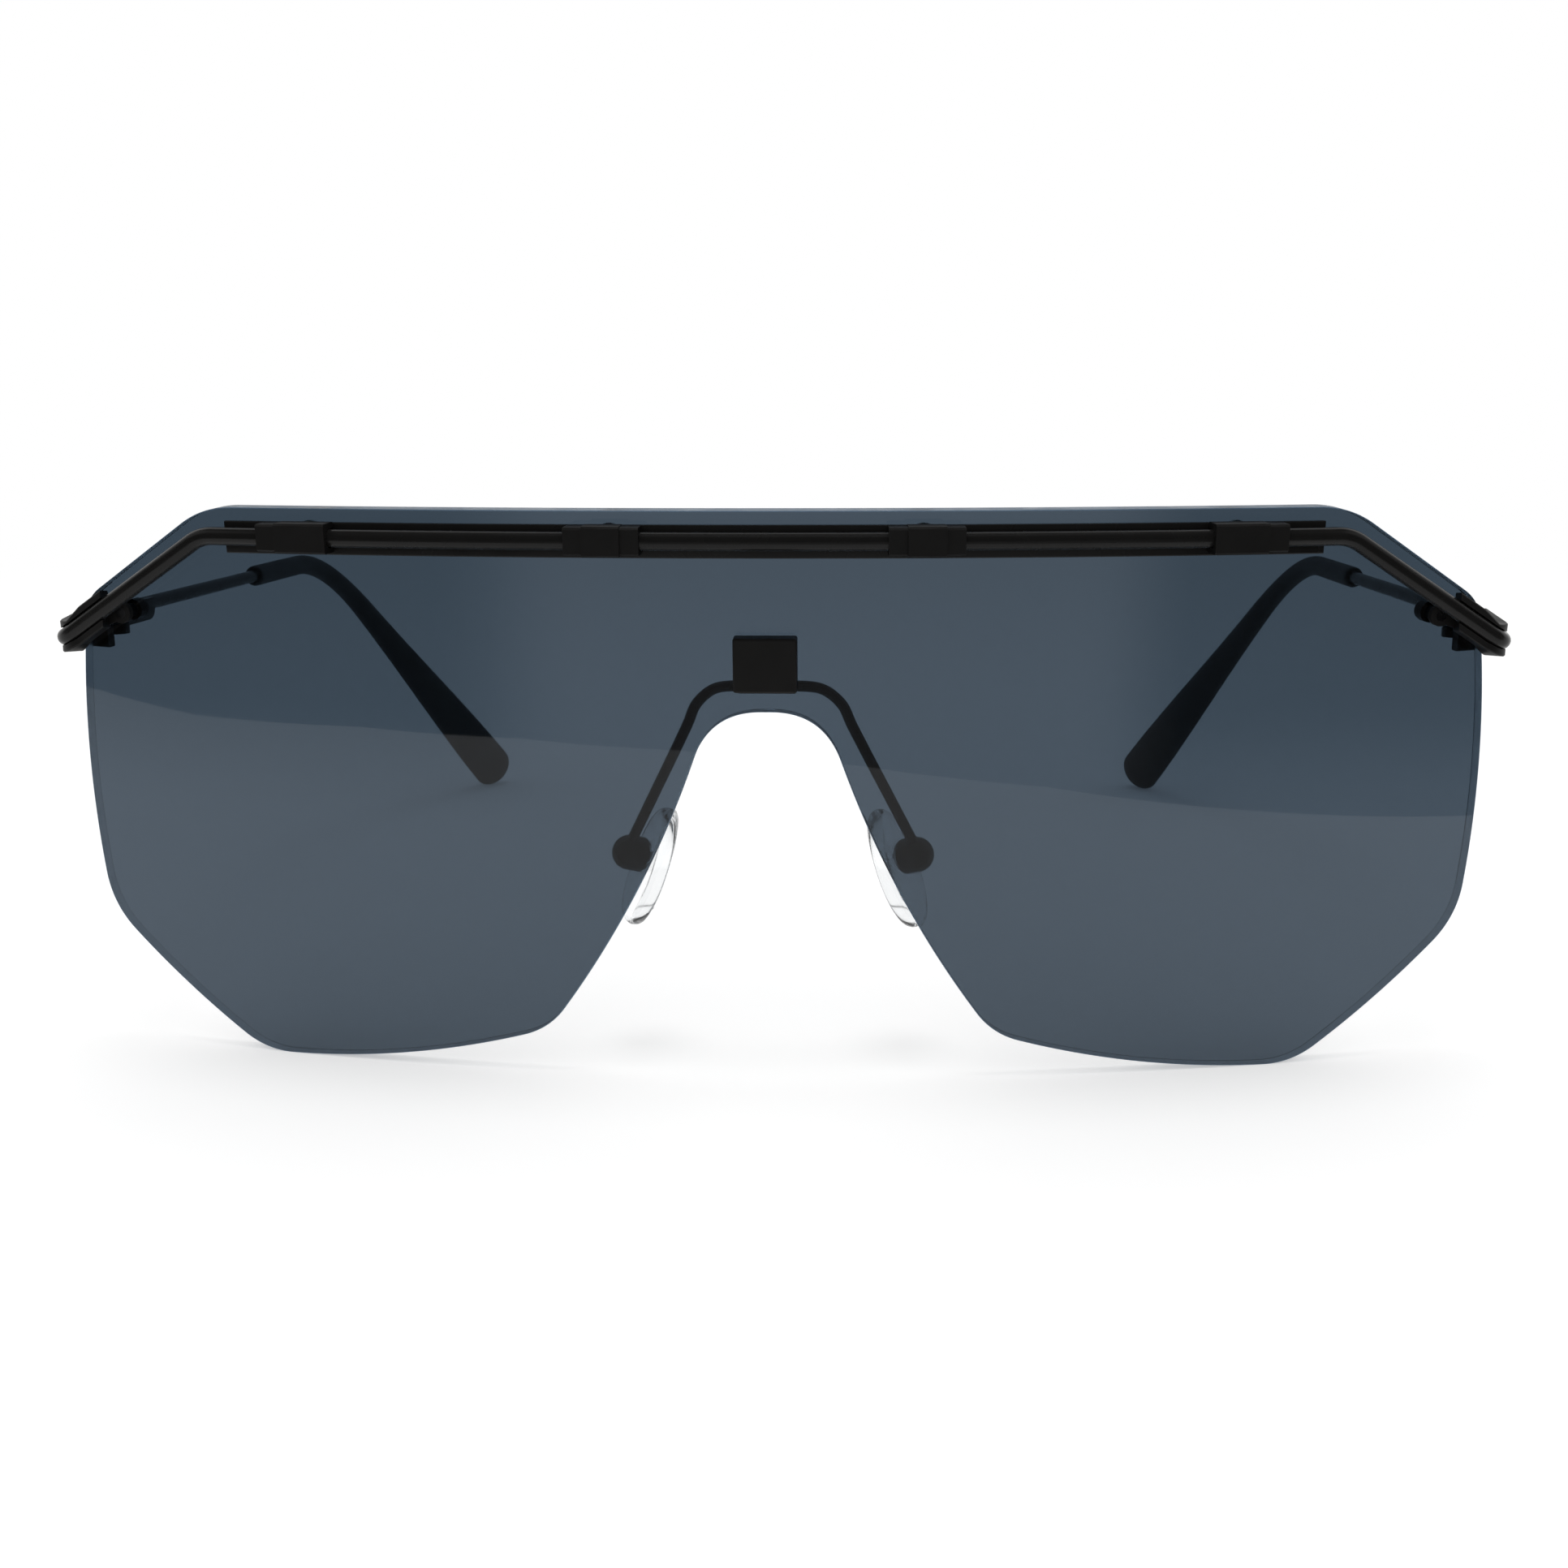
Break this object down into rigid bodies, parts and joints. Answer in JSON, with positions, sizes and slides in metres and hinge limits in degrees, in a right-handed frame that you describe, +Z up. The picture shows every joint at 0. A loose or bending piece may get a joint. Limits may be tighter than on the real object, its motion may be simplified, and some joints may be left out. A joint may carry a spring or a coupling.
{
  "type": "shield sunglasses",
  "caption": "Rimless one-piece shield sunglasses: flat-top smoke lens with clipped corners, black wire brow bar, folding wire temples with moulded tips and clear rocking nose pads.",
  "frame": {"origin": "middle of the footprint, at the height of the table that the lens and the temple tips stand on", "axes": "+X to the right of a viewer who faces the lens, +Y from the lens towards the wearer, +Z up"},
  "size_m": [0.149, 0.1464, 0.0583],
  "materials": {
    "lens": "polished smoke grey-blue tint, see-through",
    "black_metal": "satin black plating",
    "dark_steel": "blackened steel screws",
    "clear_silicone": "clear silicone",
    "white_nylon": "natural nylon",
    "black_tip": "smooth black moulding"
  },
  "bodies": {
    "front": {"shield_lens": "lens", "brow_plate": "black_metal", "brow_wire": "black_metal", "bridge_block": "black_metal", "bridge_bracket": "black_metal", "brow_collar_outer_left": "black_metal", "brow_collar_inner_left": "black_metal", "pad_arm_left": "black_metal", "pad_cup_left": "black_metal", "endpiece_left": "black_metal", "lens_clamp_left": "black_metal", "hinge_bracket_left": "black_metal", "brow_screw_outer_left": "dark_steel", "brow_screw_inner_left": "dark_steel", "bridge_screw_left": "dark_steel", "lens_clamp_screw_left": "dark_steel", "hinge_screw_left": "dark_steel", "brow_washer_outer_left": "white_nylon", "brow_washer_inner_left": "white_nylon", "brow_collar_outer_right": "black_metal", "brow_collar_inner_right": "black_metal", "pad_arm_right": "black_metal", "pad_cup_right": "black_metal", "endpiece_right": "black_metal", "lens_clamp_right": "black_metal", "hinge_bracket_right": "black_metal", "brow_screw_outer_right": "dark_steel", "brow_screw_inner_right": "dark_steel", "bridge_screw_right": "dark_steel", "lens_clamp_screw_right": "dark_steel", "hinge_screw_right": "dark_steel", "brow_washer_outer_right": "white_nylon", "brow_washer_inner_right": "white_nylon"},
    "temple_left": {"temple_knuckle_left": "black_metal", "temple_leaf_left": "black_metal", "temple_wire_left": "black_metal", "temple_tip_left": "black_tip"},
    "temple_right": {"temple_knuckle_right": "black_metal", "temple_leaf_right": "black_metal", "temple_wire_right": "black_metal", "temple_tip_right": "black_tip"},
    "pad_left": {"pad_stem_left": "clear_silicone", "nose_pad_left": "clear_silicone"},
    "pad_right": {"pad_stem_right": "clear_silicone", "nose_pad_right": "clear_silicone"}
  },
  "joints": [
    {"name": "temple_fold_left", "type": "hinge", "parent": "front", "child": "temple_left", "pos_m": [-0.07065, -0.05125, 0.04534], "axis": [0, -0.0332, -0.9995], "range_deg": [0, 83]},
    {"name": "temple_fold_right", "type": "hinge", "parent": "front", "child": "temple_right", "pos_m": [0.07065, -0.05125, 0.04534], "axis": [0, 0.0332, 0.9995], "range_deg": [0, 77]},
    {"name": "pad_rock_left", "type": "hinge", "parent": "front", "child": "pad_left", "pos_m": [-0.01455, -0.05908, 0.0217], "axis": [-0.3971, 0.8975, 0.1918], "range_deg": [-8, 8]},
    {"name": "pad_rock_right", "type": "hinge", "parent": "front", "child": "pad_right", "pos_m": [0.01455, -0.05908, 0.0217], "axis": [0.3971, 0.8975, 0.1918], "range_deg": [-8, 8]}
  ]
}
